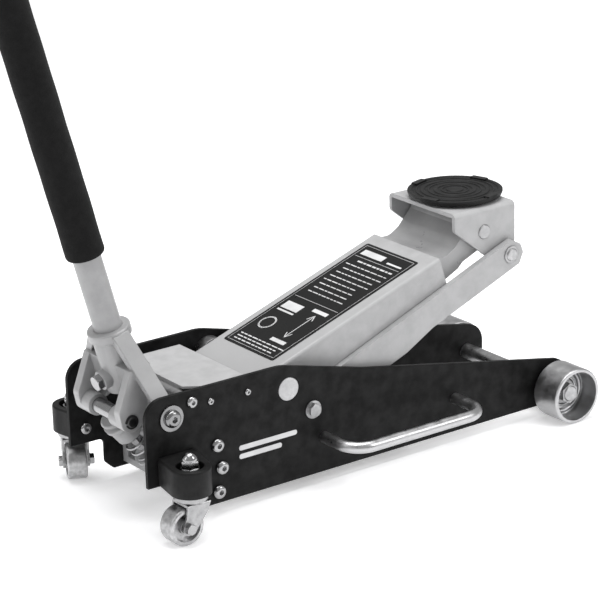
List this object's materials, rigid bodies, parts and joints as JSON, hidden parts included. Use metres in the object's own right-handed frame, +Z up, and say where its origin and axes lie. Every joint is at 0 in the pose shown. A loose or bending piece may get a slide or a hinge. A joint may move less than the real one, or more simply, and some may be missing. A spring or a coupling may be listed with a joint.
{
  "type": "floor jack",
  "caption": "Low wheeled hydraulic jack with a parallel-link lift arm, swivel saddle, rear casters, side carry handles and a long pump handle.",
  "frame": {"origin": "on the floor under the lift arm's main shaft, on the centre plane, which is the middle of the overall box's base", "axes": "+X from the handle towards the saddle and front rollers, +Y to the left-hand plate, +Z up"},
  "size_m": [0.8735, 0.3038, 1.1075],
  "materials": {
    "black_paint": "satin black powder coat",
    "silver_paint": "light silver-grey paint",
    "cast_silver": "painted casting",
    "black_cast": "black painted casting",
    "zinc": "zinc plated",
    "chrome": "bright plated",
    "steel": "machined steel",
    "roller_steel": "turned steel",
    "handle_paint": "silver paint",
    "foam": "matte black foam",
    "black_rubber": "matte black rubber",
    "label": "printed black plate"
  },
  "bodies": {
    "chassis": {"left_side_plate": "black_paint", "right_side_plate": "black_paint", "unit_cover": "silver_paint", "reservoir_tank": "silver_paint", "power_unit_casting": "cast_silver", "pump_barrel": "cast_silver", "left_caster_bracket": "black_cast", "right_caster_bracket": "black_cast", "cross_members": "zinc", "chassis_spacers": "zinc", "front_axle_nuts": "zinc", "unit_plugs": "zinc", "release_valve_nut": "zinc", "link_pivot_bolts": "zinc", "left_carry_handle": "zinc", "right_carry_handle": "zinc", "inner_bolts": "chrome", "small_screws": "chrome", "side_bolts": "chrome", "socket_pivot_bolts": "chrome", "main_shaft": "steel", "front_axle": "steel", "ram_barrel": "steel", "pump_spring": "steel"},
    "lift_arm": {"lift_arm": "silver_paint", "arm_neck": "silver_paint", "arm_hub": "cast_silver", "crank_pin": "steel", "label_plate": "label"},
    "cradle": {"cradle": "silver_paint", "cradle_pin": "steel", "link_pins": "steel", "link_pin_washers": "zinc"},
    "saddle": {"saddle_casting": "cast_silver", "saddle_pad": "black_rubber"},
    "left_link": {"left_link": "silver_paint"},
    "right_link": {"right_link": "silver_paint"},
    "left_roller": {"left_front_roller": "roller_steel"},
    "right_roller": {"right_front_roller": "roller_steel"},
    "left_caster": {"left_caster_fork": "zinc", "left_caster_fasteners": "chrome"},
    "right_caster": {"right_caster_fork": "zinc", "right_caster_fasteners": "chrome"},
    "left_wheel": {"left_caster_wheel": "roller_steel"},
    "right_wheel": {"right_caster_wheel": "roller_steel"},
    "socket": {"handle_socket": "cast_silver", "socket_clamp_bolt": "chrome", "pump_roller_pin": "steel"},
    "pump_roller": {"pump_roller": "chrome"},
    "handle": {"handle_lower_tube": "handle_paint", "handle_upper_tube": "handle_paint", "handle_lock_button": "steel", "foam_grip": "foam", "handle_end_grip": "black_rubber", "release_fork": "steel"},
    "spindle": {"release_spindle": "steel"},
    "plunger": {"pump_plunger": "chrome", "pump_cap": "cast_silver"},
    "ram": {"ram_crosshead": "steel", "ram_rod": "chrome"}
  },
  "joints": [
    {"name": "arm_lift", "type": "hinge", "parent": "chassis", "child": "lift_arm", "pos_m": [0, 0, 0.1289], "axis": [0, -1, 0], "range_deg": [-33, 40.9]},
    {"name": "cradle_level", "type": "hinge", "parent": "lift_arm", "child": "cradle", "pos_m": [0.31199, 0, 0.2501], "axis": [0, -1, 0], "range_deg": [-41, 33.1]},
    {"name": "left_link_swing", "type": "hinge", "parent": "chassis", "child": "left_link", "pos_m": [0.0337, 0.071, 0.0956], "axis": [0, -1, 0], "range_deg": [-33.1, 41]},
    {"name": "right_link_swing", "type": "hinge", "parent": "chassis", "child": "right_link", "pos_m": [0.0337, -0.071, 0.0956], "axis": [0, -1, 0], "range_deg": [-33.1, 41]},
    {"name": "saddle_swivel", "type": "hinge", "parent": "cradle", "child": "saddle", "pos_m": [0.31859, 0, 0.2801], "axis": [0, 0, 1], "continuous": true},
    {"name": "left_roller_spin", "type": "hinge", "parent": "chassis", "child": "left_roller", "pos_m": [0.40135, 0.1144, 0.0354], "axis": [0, 1, 0], "continuous": true},
    {"name": "right_roller_spin", "type": "hinge", "parent": "chassis", "child": "right_roller", "pos_m": [0.40135, -0.1144, 0.0354], "axis": [0, 1, 0], "continuous": true},
    {"name": "left_caster_swivel", "type": "hinge", "parent": "chassis", "child": "left_caster", "pos_m": [-0.166, 0.126, 0.05], "axis": [0, 0, 1], "continuous": true},
    {"name": "left_caster_roll", "type": "hinge", "parent": "left_caster", "child": "left_wheel", "pos_m": [-0.17214, 0.11342, 0.0225], "axis": [-0.8988, 0.4384, 0], "continuous": true},
    {"name": "right_caster_swivel", "type": "hinge", "parent": "chassis", "child": "right_caster", "pos_m": [-0.166, -0.126, 0.05], "axis": [0, 0, 1], "continuous": true},
    {"name": "right_caster_roll", "type": "hinge", "parent": "right_caster", "child": "right_wheel", "pos_m": [-0.18, -0.126, 0.0225], "axis": [0, 1, 0], "continuous": true},
    {"name": "handle_pump", "type": "hinge", "parent": "chassis", "child": "socket", "pos_m": [-0.16255, 0, 0.13365], "axis": [0, -1, 0], "range_deg": [0, 50], "stiffness_Nm_per_rad": 9, "springref_deg": -40.11},
    {"name": "pump_roller_spin", "type": "hinge", "parent": "socket", "child": "pump_roller", "pos_m": [-0.19251, 0, 0.12568], "axis": [0, 1, 0], "continuous": true},
    {"name": "handle_twist", "type": "hinge", "parent": "socket", "child": "handle", "pos_m": [-0.16255, 0, 0.13365], "axis": [-0.2571, 0, 0.9664], "range_deg": [0, 120]},
    {"name": "release_turn", "type": "hinge", "parent": "chassis", "child": "spindle", "pos_m": [-0.16255, 0, 0.13365], "axis": [0.9063, 0, -0.4226], "range_deg": [-120.1, 0.1]},
    {"name": "pump_stroke", "type": "slide", "parent": "chassis", "child": "plunger", "axis": [0.6428, 0, -0.766], "range_m": [0, 0.0262], "deforming": ["pump_spring"]},
    {"name": "ram_slide", "type": "slide", "parent": "chassis", "child": "ram", "axis": [1, 0, 0], "range_m": [-0.0222, 0.0275]}
  ],
  "couplings": [
    {"joint": "cradle_level", "follows": "arm_lift", "ratio": -1},
    {"joint": "left_link_swing", "follows": "arm_lift", "ratio": 1},
    {"joint": "right_link_swing", "follows": "arm_lift", "ratio": 1},
    {"joint": "ram_slide", "follows": "arm_lift", "m_per_rad": 0.038},
    {"joint": "pump_stroke", "follows": "handle_pump", "m_per_rad": 0.03},
    {"joint": "release_turn", "follows": "handle_twist", "ratio": -1}
  ]
}
